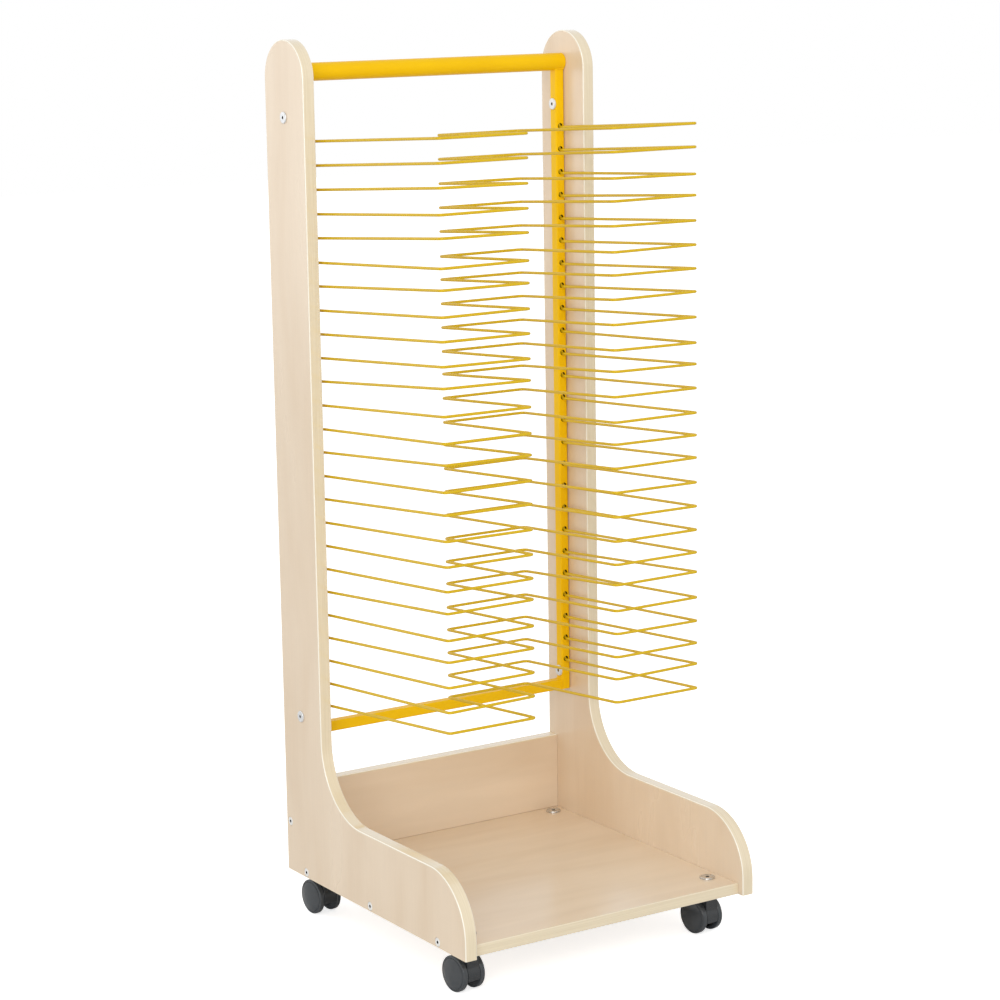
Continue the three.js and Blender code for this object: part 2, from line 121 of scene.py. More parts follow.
def joined(surfaces):
    """Several surfaces as one: the faces of each are counted on from the points before it."""
    starts = np.cumsum([0] + [len(points) for points, _ in surfaces[:-1]])
    faces = [(np.array(face) + start).tolist() for (_, some), start in zip(surfaces, starts) for face in some]
    return np.concatenate([points for points, _ in surfaces]), faces


def make_piece(name, surfaces, finish, body, replaced=(), crease=30.0, marks=None):
    """One object from some surfaces: points that meet are merged, faces turned outwards, and edges
    sharper than `crease` degrees stay sharp under smooth shading. `marks` holds a number for each
    point, 0 to 1, that the finish can read to change its colour there."""
    points, faces = joined(surfaces)
    mesh = bpy.data.meshes.new(name)
    mesh.from_pydata(points.tolist(), [], faces)
    if marks is not None:
        mesh.attributes.new("mark", "FLOAT", "POINT").data.foreach_set("value", marks)
    shell = bmesh.new()
    shell.from_mesh(mesh)
    bmesh.ops.remove_doubles(shell, verts=shell.verts, dist=0.002 * MM)
    bmesh.ops.recalc_face_normals(shell, faces=shell.faces)
    shell.to_mesh(mesh)
    shell.free()
    mesh.shade_smooth()
    mesh.set_sharp_from_angle(angle=math.radians(crease))
    mesh.materials.append(finish)
    piece = bpy.data.objects.new(name, mesh)
    bpy.context.scene.collection.objects.link(piece)
    normals = piece.modifiers.new("even_flats", "WEIGHTED_NORMAL")
    normals.keep_sharp = True
    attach(piece, body)
    if replaced:
        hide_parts(*replaced)
    return piece


print("a 3 x 4 grid has", len(grid_faces(3, 4)), "faces, closed on itself", len(grid_faces(3, 4, True, True)))

# %% [markdown]
# ## Sections and turned shapes
# Boards and tubes are a closed section carried straight along one axis. Bolts, screws and wheels are
# rings of points round an axis. A hexagon socket is a ring whose radius changes with the angle, so it
# needs no cutting tool: the ring's radius is the half width divided by the cosine of the angle to the
# middle of the nearest flat.

# %% Section and turning helpers
def rounded_rectangle(low, high, radii, steps=6):
    """Closed loop of (u, v) points: four quarter arcs, each corner's centre plus its radius times
    (cos, sin), anticlockwise from high u and low v. A radius of 0 is a sharp corner."""
    radius = np.array(radii, float)
    inward_u = np.array([-1, -1, 1, 1])
    inward_v = np.array([1, -1, -1, 1])
    centre_u = np.array([high[0], high[0], low[0], low[0]]) + inward_u * radius
    centre_v = np.array([low[1], high[1], high[1], low[1]]) + inward_v * radius
    angle = np.radians([-90, 0, 90, 180])[:, None] + np.linspace(0, np.pi / 2, steps)
    u = centre_u[:, None] + radius[:, None] * np.cos(angle)
    v = centre_v[:, None] + radius[:, None] * np.sin(angle)
    return np.stack([u, v], axis=-1).reshape(-1, 2)


def carried_along_x(loop, start, end):
    """A closed (y, z) loop carried from x = start to x = end, with both ends closed."""
    count = len(loop)
    x = np.array([start, end])[:, None, None] * np.ones((2, count, 1))
    points = np.concatenate([x, np.broadcast_to(loop, (2, count, 2))], axis=-1)
    body, faces = grid_surface(points, wrap_columns=True)
    return body, faces + [list(range(count)), list(range(count, 2 * count))]


def hexagon(flats, sides):
    """Radius of a hexagon at each angle: half its width over flats, over the cosine of the angle
    to the middle of the nearest flat."""
    angle = np.linspace(0, 2 * np.pi, sides, endpoint=False)
    sixth = np.pi / 3
    return flats / 2 / np.cos((angle + sixth / 2) % sixth - sixth / 2)


def turned(rings, origin, axis, sides=48):
    """Rings about an axis: origin + along * axis + radius * (cos u + sin v), with u and v square to
    the axis. Each ring is (along, radius), and a radius may be one number or one for each angle."""
    axis = np.array(axis, float) / np.linalg.norm(axis)
    helper = np.array([0.0, 0.0, 1.0]) if abs(axis[2]) < 0.9 else np.array([0.0, 1.0, 0.0])
    u = np.cross(helper, axis)
    u /= np.linalg.norm(u)
    v = np.cross(axis, u)
    angle = np.linspace(0, 2 * np.pi, sides, endpoint=False)
    along = np.array([ring[0] for ring in rings], float)[:, None, None]
    radius = np.stack([np.broadcast_to(ring[1], sides) for ring in rings])[:, :, None]
    spoke = np.cos(angle)[:, None] * u + np.sin(angle)[:, None] * v
    return grid_surface(np.array(origin, float) + along * axis + radius * spoke, wrap_columns=True)


def round_over(along, radius, size, steps=5):
    """Rings of a rounded edge that leads from a cylinder of `radius` to a flat top at `along`."""
    angle = np.linspace(0, np.pi / 2, steps)
    return list(zip(along - size + size * np.sin(angle), radius - size + size * np.cos(angle)))


print("hexagon of 4 mm:", hexagon(4.0, 6).round(2).tolist())

# %% [markdown]
# ## Finishes
# A plain colour looks like nothing in particular, so every finish here has at least two scales of
# noise: one broad, for the tone, and one fine, for the grain or the texture, which also moves the
# roughness and the bump. All noise reads Object coordinates, so it stays on the piece when it moves.
# Colours are written as they look on a screen and changed to linear light by the standard curve.

# %% Material helpers
def screen_colour(red, green, blue):
    """Screen values 0 to 255 as linear light: ((c + 0.055) / 1.055) to the power 2.4."""
    share = np.array([red, green, blue]) / 255
    linear = np.where(share <= 0.04045, share / 12.92, ((share + 0.055) / 1.055) ** 2.4)
    return (*linear.tolist(), 1.0)


def new_finish(name):
    """A node material, with its tree's nodes and links and its Principled shader."""
    finish = bpy.data.materials.new(name)
    finish.use_nodes = True
    nodes = finish.node_tree.nodes
    return finish, nodes, finish.node_tree.links, nodes["Principled BSDF"]


def noise(nodes, links, cycles, detail=2.0, shift=(0.0, 0.0, 0.0), swirl=0.0):
    """Noise with its own number of cycles a metre along X, Y and Z, so that it can be stretched, and
    with a swirl that bends its streaks."""
    place = nodes.new("ShaderNodeTexCoord")
    stretch = nodes.new("ShaderNodeMapping")
    stretch.inputs["Scale"].default_value = cycles
    stretch.inputs["Location"].default_value = shift
    texture = nodes.new("ShaderNodeTexNoise")
    texture.inputs["Scale"].default_value = 1.0
    texture.inputs["Detail"].default_value = detail
    texture.inputs["Distortion"].default_value = swirl
    links.new(place.outputs["Object"], stretch.inputs["Vector"])
    links.new(stretch.outputs["Vector"], texture.inputs["Vector"])
    return texture.outputs["Fac"]


def ramp(nodes, links, source, stops):
    """Colours at given values of a source, blended between them."""
    node = nodes.new("ShaderNodeValToRGB")
    node.color_ramp.elements[0].position = stops[0][0]
    node.color_ramp.elements[0].color = stops[0][1]
    node.color_ramp.elements[1].position = stops[-1][0]
    node.color_ramp.elements[1].color = stops[-1][1]
    for position, colour in stops[1:-1]:
        node.color_ramp.elements.new(position).color = colour
    links.new(source, node.inputs["Fac"])
    return node.outputs["Color"]


def multiplied(nodes, links, first, second):
    """Two colours multiplied, as one stain over another."""
    node = nodes.new("ShaderNodeMix")
    node.data_type = "RGBA"
    node.blend_type = "MULTIPLY"
    node.inputs["Factor"].default_value = 1.0
    links.new(first, node.inputs["A"])
    links.new(second, node.inputs["B"])
    return node.outputs["Result"]


def marked(nodes, links, plain, other):
    """A plain colour that gives way to another one where the piece's points carry a mark."""
    mark = nodes.new("ShaderNodeAttribute")
    mark.attribute_name = "mark"
    node = nodes.new("ShaderNodeMix")
    node.data_type = "RGBA"
    node.inputs["B"].default_value = other
    links.new(mark.outputs["Fac"], node.inputs["Factor"])
    links.new(plain, node.inputs["A"])
    return node.outputs["Result"]


def spread(nodes, links, source, low, high, target):
    """A source that runs around one half, remapped to a range and joined to a socket."""
    node = nodes.new("ShaderNodeMapRange")
    node.inputs["From Min"].default_value = 0.3
    node.inputs["From Max"].default_value = 0.7
    node.inputs["To Min"].default_value = low
    node.inputs["To Max"].default_value = high
    links.new(source, node.inputs["Value"])
    links.new(node.outputs["Result"], target)


def bump(nodes, links, source, shader, depth, strength=1.0):
    """Small heights from a source: `depth` metres for the whole swing."""
    node = nodes.new("ShaderNodeBump")
    node.inputs["Distance"].default_value = depth
    node.inputs["Strength"].default_value = strength
    links.new(source, node.inputs["Height"])
    links.new(node.outputs["Normal"], shader.inputs["Normal"])


def grey(value):
    return (value, value, value, 1.0)


print("material helpers ready, white is", screen_colour(255, 255, 255))

# %% [markdown]
# ## Maple laminate
# The boards are chipboard under a printed maple laminate: pale, even, with fine streaks along the
# board and a faint broad cloud of tone. Long streaks come from noise that has many cycles across the
# grain and few along it. The sides have their grain upright, the base and back board from side to
# side, so the same function makes both with its cycles turned. The edges wear a plastic band. A
# scraper rounds its two arrises after gluing, and a near-white colour there draws a fine light line:
# partly the plastic's own paler trimmed edge, partly a painted highlight.

# %% Laminate and edge band
MAPLE_LIGHT = screen_colour(237, 218, 193)
MAPLE_MID = screen_colour(233, 213, 187)
MAPLE_DARK = screen_colour(228, 206, 178)
BAND_DARK = screen_colour(227, 211, 179)
BAND_LIGHT = screen_colour(237, 222, 192)
# Near-white arris line: partly the band's paler trimmed edge, partly a painted highlight.
BAND_SCRAPE_AND_HIGHLIGHT = screen_colour(253, 248, 236)


def maple_laminate(name, along, figure, shade, smooth, rough):
    """Maple with its grain along axis number `along`: broad clouds of tone times fine streaks and flecks."""
    finish, nodes, links, shader = new_finish(name)
    across, length = 1.0, np.eye(3)[along]

    def cycles(wide, long):
        return tuple((wide * (across - length) + long * length).tolist())

    cloud = noise(nodes, links, cycles(13, 3.0), 2.0, (0.0, 0.0, 0.0), 0.5)
    tone = ramp(nodes, links, cloud, [(0.3, MAPLE_DARK), (0.5, MAPLE_MID), (0.7, MAPLE_LIGHT)])
    streak = noise(nodes, links, cycles(*figure), 2.0, (3.1, 1.7, 5.3), 0.8)
    streaked = multiplied(nodes, links, tone, ramp(nodes, links, streak, [(0.3, grey(shade)), (0.65, grey(1.0))]))
    fleck = noise(nodes, links, cycles(800, 50), 1.0, (7.7, 2.9, 4.1))
    flecked = multiplied(nodes, links, streaked, ramp(nodes, links, fleck, [(0.28, grey(0.992)), (0.42, grey(1.0))]))
    links.new(flecked, shader.inputs["Base Color"])
    shader.inputs["Specular IOR Level"].default_value = 0.65
    spread(nodes, links, cloud, rough, smooth, shader.inputs["Roughness"])
    bump(nodes, links, streak, shader, 0.002 * MM, 0.1)
    return finish


def edge_band(name, cycles):
    """Plastic edge band: streaks along the strip, a satin face, and a paler arris where the mark is 1, partly its own
    paler edge and partly a painted highlight.
    """
    finish, nodes, links, shader = new_finish(name)
    streak = noise(nodes, links, cycles, 3.0)
    streaked = ramp(nodes, links, streak, [(0.3, BAND_DARK), (0.7, BAND_LIGHT)])
    # Where marked, the arris is painted near-white: partly its own paler edge, partly a painted highlight.
    links.new(marked(nodes, links, streaked, BAND_SCRAPE_AND_HIGHLIGHT), shader.inputs["Base Color"])
    shader.inputs["Coat Weight"].default_value = 1.0
    shader.inputs["Coat Roughness"].default_value = 0.12
    spread(nodes, links, streak, 0.17, 0.22, shader.inputs["Roughness"])
    bump(nodes, links, streak, shader, 0.002 * MM, 0.1)
    return finish


maple_upright = maple_laminate("maple_upright", 2, (240, 9), 0.98, 0.27, 0.30)
maple_level = maple_laminate("maple_level", 0, (48, 6), 0.972, 0.20, 0.22)
panel_banding = edge_band("panel_banding", (700, 9, 9))
tray_banding = edge_band("tray_banding", (7, 700, 700))
print("board finishes:", [finish.name for finish in (maple_upright, maple_level, panel_banding, tray_banding)])

# %% [markdown]
# ## Powder coat, zinc and plastics
# Powder coat is a thick even paint with a faint orange-peel ripple. The thin wires wear a darker, duller
# copy of it than the tubes, as painted shade. Zinc plating is a dull metal with cloudy roughness, and the
# sockets of the screws and bolts carry painted shade, a dark colour. The casters are charcoal plastic, with
# the fine grain of a moulding tool on the hood and a smoother skin on the wheels.

# %% Paint, zinc and plastic finishes
# Dark grey painted inside the hexagon sockets: painted shade.
PAINTED_SOCKET_SHADE = screen_colour(52, 52, 54)
# Near-black brown for the inside of the posts: bare steel, darkened further as painted shade.
PAINTED_BORE_SHADE = screen_colour(34, 26, 16)


def powder_coat(name, dark, light, gloss, ripple):
    """Golden yellow: broad tone, orange-peel bump and a roughness that follows it. A marked bore is
    painted near-black brown: bare steel inside, made darker still as painted shade."""
    finish, nodes, links, shader = new_finish(name)
    tone = noise(nodes, links, (9, 9, 9), 2.0)
    coloured = ramp(nodes, links, tone, [(0.3, dark), (0.7, light)])
    # Marked bores take the near-black colour, partly painted shade.
    links.new(marked(nodes, links, coloured, PAINTED_BORE_SHADE), shader.inputs["Base Color"])
    peel = noise(nodes, links, (500, 500, 500), 2.0)
    shader.inputs["Specular IOR Level"].default_value = gloss
    spread(nodes, links, peel, 0.28, 0.38, shader.inputs["Roughness"])
    bump(nodes, links, peel, shader, 0.01 * MM, ripple)
    return finish


def plated_steel(name, metal, dark, light, smooth, rough):
    """Plated steel: cloudy colour and roughness on a dull metal, and painted shade inside the marked sockets."""
    finish, nodes, links, shader = new_finish(name)
    shader.inputs["Metallic"].default_value = metal
    cloud = noise(nodes, links, (260, 260, 260), 3.0)
    clouded = ramp(nodes, links, cloud, [(0.3, dark), (0.7, light)])
    # Marked sockets take the dark painted shade.
    links.new(marked(nodes, links, clouded, PAINTED_SOCKET_SHADE), shader.inputs["Base Color"])
    spread(nodes, links, cloud, smooth, rough, shader.inputs["Roughness"])
    bump(nodes, links, cloud, shader, 0.01 * MM)
    return finish


def charcoal_plastic(name, dark, light, smooth, rough, depth):
    """Moulded plastic: two close greys and a fine grain that also sets the roughness."""
    finish, nodes, links, shader = new_finish(name)
    tone = noise(nodes, links, (60, 60, 60), 2.0)
    links.new(ramp(nodes, links, tone, [(0.3, dark), (0.7, light)]), shader.inputs["Base Color"])
    grain = noise(nodes, links, (2200, 2200, 2200), 2.0)
    spread(nodes, links, grain, smooth, rough, shader.inputs["Roughness"])
    bump(nodes, links, grain, shader, depth)
    return finish


paint = powder_coat("frame_paint", screen_colour(244, 193, 2), screen_colour(250, 201, 4), 0.15, 1.0)
# The wires' copy of the paint is darker and duller than the frame's: painted shade.
shaded_wire_paint = powder_coat("shaded_wire_paint", screen_colour(214, 177, 18), screen_colour(221, 184, 24), 0.28, 0.1)
zinc = plated_steel("zinc", 0.25, screen_colour(232, 232, 230), screen_colour(246, 246, 243), 0.34, 0.48)
dull_zinc = plated_steel("dull_zinc", 0.35, screen_colour(212, 214, 216), screen_colour(232, 233, 233), 0.30, 0.42)
bright_steel = plated_steel("bright_steel", 0.9, screen_colour(192, 190, 186), screen_colour(212, 210, 206), 0.18, 0.30)
hood_plastic = charcoal_plastic(
    "hood_plastic", screen_colour(49, 52, 55), screen_colour(55, 58, 61), 0.20, 0.28, 0.01 * MM)
wheel_plastic = charcoal_plastic(
    "wheel_plastic", screen_colour(62, 66, 70), screen_colour(68, 72, 76), 0.12, 0.18, 0.002 * MM)
print("other finishes:", [finish.name for finish in (
    paint, shaded_wire_paint, zinc, dull_zinc, bright_steel, hood_plastic, wheel_plastic)])

# %% [markdown]
# ## Side panels and their bands
# A side panel is one outline: a straight back, a round top, a column, a hollow curve down to the low
# cheek and a round nose. The band is a strip with two rounded edges, carried round that outline: each
# point of the strip's section has an inset, and the outline drawn at that inset is one line of the grid.
# The board fills what lies inside the band. Its outer face has round holes for the sunk screw heads,
# so that face is cut into triangles between its outline and the holes.

# %% Panel outline
band_low, band_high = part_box("edge_band_left")
panel_back, panel_front = band_high.y, band_low.y
boards_bottom, panel_top = band_low.z, band_high.z
panel_outer, panel_inner = -band_low.x, -band_high.x
panel_depth = panel_back - panel_front
panel_height = panel_top - boards_bottom
COLUMN_DEPTH = 107 * MM
CHEEK_HEIGHT = 109 * MM
HOLLOW_RADIUS = 103 * MM
NOSE_RADIUS = 86 * MM
BAND_THICKNESS = 2 * MM
BAND_ARRIS = 1.7 * MM
ARRIS_STEPS = 7
BOARD_INSET = 2.05 * MM


def arc(centre, radius, start, end, steps):
    """Points on a circle: centre + radius * (cos, sin), with angles in degrees."""
    angle = np.radians(np.linspace(start, end, steps))
    return np.array(centre) + radius * np.stack([np.cos(angle), np.sin(angle)], axis=-1)


def panel_edge(inset):
    """Panel outline in depth from the back and height, at an inset: bottom back corner, round top,
    hollow, nose, bottom front corner. The inset shrinks the outward arcs and widens the hollow."""
    crown = COLUMN_DEPTH / 2
    hollow = (COLUMN_DEPTH + HOLLOW_RADIUS, CHEEK_HEIGHT + HOLLOW_RADIUS)
    nose = (panel_depth - NOSE_RADIUS, CHEEK_HEIGHT - NOSE_RADIUS)
    return np.vstack([
        [[inset, 0.0]],
        arc((crown, panel_height - crown), crown - inset, 180, 0, 65),
        arc(hollow, HOLLOW_RADIUS + inset, 180, 270, 40),
        arc(nose, NOSE_RADIUS - inset, 90, 0, 40),
        [[panel_depth - inset, 0.0]],
    ])


def on_panel(depth_height, x):
    """(depth, height) pairs on a panel as places, at one x."""
    depth, height = np.moveaxis(np.asarray(depth_height, float), -1, 0)
    return np.stack([np.broadcast_to(x, depth.shape), panel_back - depth, boards_bottom + height], axis=-1)


print("panel", round(panel_depth / MM), "x", round(panel_height / MM), "mm, outline points", len(panel_edge(0)))

# %% Edge bands
# These marks place the pale arris line, which is partly a painted highlight.
def arris_marks(rounded, steps):
    """A mark for each point of a rounded rectangle: on a rounded corner it swells from 0 at the ends
    of the arc to 1 in its middle, by the squared sine of the way along it."""
    swell = np.sin(np.linspace(0, np.pi, steps)) ** 2
    return (np.array(rounded, float)[:, None] * swell).ravel()


def panel_band(sign):
    """The band's section is a loop of (across, inset) pairs, and every pair draws the outline once."""
    thickness = panel_outer - panel_inner
    section = rounded_rectangle(
        (0.0, 0.0), (thickness, BAND_THICKNESS), (BAND_ARRIS, 0, 0, BAND_ARRIS), ARRIS_STEPS)
    lines = [on_panel(panel_edge(inset), sign * (panel_inner + across)) for across, inset in section]
    points, faces = grid_surface(np.stack(lines), wrap_rows=True)
    count = len(lines[0])
    ends = [(np.arange(len(section)) * count + last).tolist() for last in (0, count - 1)]
    # The marks carry the pale arris line, partly a painted highlight.
    return points, faces + ends, np.repeat(arris_marks((1, 0, 0, 1), ARRIS_STEPS), count)


for side, sign in (("left", -1), ("right", 1)):
    points, faces, marks = panel_band(sign)
    band = make_piece(f"panel_band_{side}", [(points, faces)], panel_banding, "rack",
                      [f"edge_band_{side}"], marks=marks)
    print(band.name, len(band.data.polygons), "faces")

# %% Boards of the side panels
SCREW_DIAMETER = 13 * MM
SCREW_HOLE_DEPTH = 4 * MM
SCREW_SIDES = 36
SCREW_PLACES = np.array([(10.7, 73.0), (53.8, 7.2), (232.7, 7.2), (409.7, 7.2)]) * MM
hole_circle = arc((0.0, 0.0), SCREW_DIAMETER / 2, 0, 360 - 360 / SCREW_SIDES, SCREW_SIDES)


def panel_board(sign):
    """Outline carried through the thickness; the outer face has the screw holes, each with a wall
    and a floor a few millimetres in."""
    outline = panel_edge(BOARD_INSET)
    loops = [outline] + [place + hole_circle for place in SCREW_PLACES]
    triangles = tessellate_polygon([np.pad(loop, ((0, 0), (0, 1))).tolist() for loop in loops])
    outer = on_panel(np.vstack(loops), sign * panel_outer), [list(triangle) for triangle in triangles]
    rim = grid_surface(
        np.stack([on_panel(outline, sign * panel_outer), on_panel(outline, sign * panel_inner)]), wrap_columns=True)
    inner = on_panel(outline, sign * panel_inner), [list(range(len(outline)))]
    floor_x = sign * (panel_outer - SCREW_HOLE_DEPTH)
    wells = []
    for loop in loops[1:]:
        wall = np.stack([on_panel(loop, sign * panel_outer), on_panel(loop, floor_x)])
        wells += [grid_surface(wall, wrap_columns=True), (wall[1], [list(range(SCREW_SIDES))])]
    return [outer, rim, inner, *wells]


for side, sign in (("left", -1), ("right", 1)):
    board = make_piece(f"panel_board_{side}", panel_board(sign), maple_upright, "rack", [f"side_panel_{side}"])
    print(board.name, len(board.data.polygons), "faces")

# %% [markdown]
# ## The tray
# The base and the back board are planks: a section carried from side to side. Their banded edges are
# separate strips, 2 mm thick with rounded edges, on the front of the base and the top of the back board.

# %% Base and back board
EDGE_EASE = 0.4 * MM
TRAY_ARRIS = 1.2 * MM
base_low, base_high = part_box("base_board")
back_low, back_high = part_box("back_board")


def plank(name, low, high, x, finish, radii, replaced=(), scrape_and_highlight=(0, 0, 0, 0)):
    """A rounded (y, z) rectangle carried across the tray, marked on its arrises for the pale line: partly the band's
    own paler edge, partly a painted highlight.
    """
    section = rounded_rectangle(low, high, radii, ARRIS_STEPS)
    marks = np.tile(arris_marks(scrape_and_highlight, ARRIS_STEPS), 2)
    return make_piece(name, [carried_along_x(section, -x, x)], finish, "rack", replaced, marks=marks)


ease = (EDGE_EASE,) * 4
tray_half = base_high.x
plank("tray_base", (base_low.y + BAND_THICKNESS, base_low.z), (base_high.y, base_high.z), tray_half,
      maple_level, ease, ["base_board"])
# The front band's marked arrises are painted paler, partly as a painted highlight.
plank("tray_base_band", (base_low.y, base_low.z), (base_low.y + BAND_THICKNESS, base_high.z), tray_half,
      tray_banding, (0, 0, TRAY_ARRIS, TRAY_ARRIS), scrape_and_highlight=(0, 0, 0.2, 0.3))
plank("tray_back", (back_low.y, back_low.z), (back_high.y, back_high.z - BAND_THICKNESS), tray_half,
      maple_level, ease, ["back_board"])
# The top band's marked arrises are painted paler, partly as a painted highlight.
plank("tray_back_band", (back_low.y, back_high.z - BAND_THICKNESS), (back_high.y, back_high.z), tray_half,
      tray_banding, (0, TRAY_ARRIS, TRAY_ARRIS, 0), scrape_and_highlight=(0, 1, 1, 0))
print("tray", round(2 * tray_half / MM, 1), "mm wide")

# %% [markdown]
# ## Steel frame
# Two square tubes stand against the panels. Each has 25 round holes in its front for the wire hooks,
# and its top is cut to a saddle under the round rail. A square tube is a rounded square carried
# upwards; only the front wall differs, as a flat strip with holes, cut into triangles like the panels.
# The inner wall is made in the same way, so the holes show a real wall and a hollow behind it.

# %% Posts
POST_CORNER = 2 * MM
POST_WALL = 1.5 * MM
POST_GAP = 0.7 * MM
BORE_CORNER = 0.5 * MM
HOLE_DIAMETER = 8 * MM
HOLE_SIDES = 32
SHELF_COUNT = 25
CORNER_STEPS = 6
rail_low, rail_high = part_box("top_rail")
rail_y = (rail_low.y + rail_high.y) / 2
rail_z = (rail_low.z + rail_high.z) / 2
rail_radius = (rail_high.z - rail_low.z) / 2
PIVOT_OVER_HOLE = 3.3 * MM
hole_heights = np.array(
    [joints[f"shelf_{number:02d}_lift"]["pos_m"][2] for number in range(1, SHELF_COUNT + 1)]) - PIVOT_OVER_HOLE


def saddle_height(y):
    """Top of the post under the rail: rail centre minus the circle's height at that depth."""
    return rail_z - np.sqrt((rail_radius + 0.1 * MM) ** 2 - (y - rail_y) ** 2)


def post_skin(low, high, corner, foot):
    """One wall of the tube, outside or inside: a rounded square carried from the foot to the saddle,
    open in front, and the flat front strip with its holes."""
    loop = rounded_rectangle(low, high, (corner,) * 4, CORNER_STEPS)
    ends = np.stack([np.full(len(loop), foot), saddle_height(loop[:, 1])])
    tube = np.concatenate([np.broadcast_to(loop, (2, len(loop), 2)), ends[:, :, None]], axis=-1)
    left, right = low[0] + corner, high[0] - corner
    strip = np.array([(left, foot), (right, foot), (right, saddle_height(low[1])), (left, saddle_height(low[1]))])
    ring = arc((0.0, 0.0), HOLE_DIAMETER / 2, 0, 360 - 360 / HOLE_SIDES, HOLE_SIDES)
    middle = (left + right) / 2
    loops = [strip] + [ring + (middle, height) for height in hole_heights]
    triangles = tessellate_polygon([np.pad(line, ((0, 0), (0, 1))).tolist() for line in loops])
    flat = np.vstack(loops)
    front = np.stack([flat[:, 0], np.full(len(flat), low[1]), flat[:, 1]], axis=-1)
    holes = front[len(strip):].reshape(len(hole_heights), HOLE_SIDES, 3)
    return tube, (front, [list(triangle) for triangle in triangles]), holes


def post_box(side):
    """The post's box, a little narrower on the panel's side, where paint and board leave a dark gap."""
    low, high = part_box(f"post_{side}")
    gap = Vector((POST_GAP, 0, 0))
    return (low + gap, high) if side == "left" else (low, high - gap)


def post_tube(low, high):
    """Outside and inside skins, a rim at each end, and a short wall in every hole."""
    wall = Vector((POST_WALL, POST_WALL, 0))
    outside, outer_front, outer_holes = post_skin(low.xy, high.xy, POST_CORNER, low.z)
    inside, inner_front, inner_holes = post_skin((low + wall).xy, (high - wall).xy, BORE_CORNER, low.z)
    sides = [grid_surface(outside), grid_surface(inside)]
    rims = [grid_surface(np.stack([outside[end], inside[end]]), wrap_columns=True) for end in (0, 1)]
    walls = [grid_surface(np.stack(pair), wrap_columns=True) for pair in zip(outer_holes, inner_holes)]
    return [*sides, outer_front, inner_front, *rims, *walls]


# These marks place the painted shade in the posts' bores and hole walls.
def bore_marks(surfaces, low, high):
    """1 for the points of the bore and 0 outside: the bore lies a wall's thickness inside each face."""
    plan = np.concatenate([points for points, _ in surfaces])[:, :2]
    depth = np.minimum(plan - np.array(low.xy), np.array(high.xy) - plan).min(axis=1)
    return np.where(depth > POST_WALL / 2, 1.0, 0.0)


for side in ("left", "right"):
    low, high = post_box(side)
    tube = post_tube(low, high)
    # The bore's marks paint shade inside the tube.
    post = make_piece(f"post_tube_{side}", tube, paint, "rack", [f"post_{side}"],
                      marks=bore_marks(tube, low, high))
    print(post.name, len(post.data.polygons), "faces")

# %% Rails and weld beads
RAIL_WALL = 1.5 * MM
RAIL_EASE = 0.5 * MM
BEAD_RADIUS = 1.1 * MM
bottom_low, bottom_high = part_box("bottom_rail")


def round_rail():
    """Rings of a thick-walled tube from end to end, with eased rims, closed through the bore."""
    half = rail_high.x
    bore = rail_radius - RAIL_WALL
    rings = [(-half, bore), (-half, rail_radius - RAIL_EASE), (-half + RAIL_EASE, rail_radius),
             (half - RAIL_EASE, rail_radius), (half, rail_radius - RAIL_EASE), (half, bore), (-half, bore)]
    return turned(rings, (0.0, rail_y, rail_z), (1, 0, 0), sides=64)


def square_rail():
    """A square tube: outer and inner loops carried across, with a rim at each end."""
    half = bottom_high.x
    wall = Vector((0, POST_WALL, POST_WALL))
    skins = []
    for low, high, corner in ((bottom_low, bottom_high, POST_CORNER),
                              (bottom_low + wall, bottom_high - wall, BORE_CORNER)):
        loop = rounded_rectangle(low.yz, high.yz, (corner,) * 4, CORNER_STEPS)
        x = np.array([-half, half])[:, None, None] * np.ones((2, len(loop), 1))
        skins.append(np.concatenate([x, np.broadcast_to(loop, (2, len(loop), 2))], axis=-1))
    rims = [grid_surface(np.stack([skins[0][end], skins[1][end]]), wrap_columns=True) for end in (0, 1)]
    return [grid_surface(skin, wrap_columns=True) for skin in skins] + rims


def bead_round(path, radius):
    """A round bead along a closed path: path + radius * (cos * outward + sin * along the middle axis),
    with outward taken from the path's own middle."""
    middle = path.mean(axis=0)
    along = np.roll(path, -1, axis=0) - np.roll(path, 1, axis=0)
    along /= np.linalg.norm(along, axis=1, keepdims=True)
    outward = path - middle
    outward -= (outward * along).sum(axis=1, keepdims=True) * along
    outward /= np.linalg.norm(outward, axis=1, keepdims=True)
    upward = np.cross(along, outward)
    angle = np.linspace(0, 2 * np.pi, 10, endpoint=False)[:, None]
    ring = np.cos(angle)[None] * outward[:, None] + np.sin(angle)[None] * upward[:, None]
    return grid_surface(path[:, None] + radius * ring, wrap_rows=True, wrap_columns=True)


make_piece("top_rail_tube", [round_rail()], paint, "rack", ["top_rail"])
make_piece("bottom_rail_tube", square_rail(), paint, "rack", ["bottom_rail"])
for side in ("left", "right"):
    low, high = post_box(side)
    seam = rounded_rectangle(low.xy, high.xy, (POST_CORNER,) * 4, 8)
    saddle = np.column_stack([seam, saddle_height(seam[:, 1])])
    end_x = bottom_low.x if side == "left" else bottom_high.x
    loop = rounded_rectangle(bottom_low.yz, bottom_high.yz, (POST_CORNER,) * 4, 8)
    butt = np.column_stack([np.full(len(loop), end_x), loop])
    beads = [bead_round(saddle, BEAD_RADIUS), bead_round(butt, BEAD_RADIUS)]
    make_piece(f"weld_beads_{side}", beads, paint, "rack")
print("rails and weld beads made")

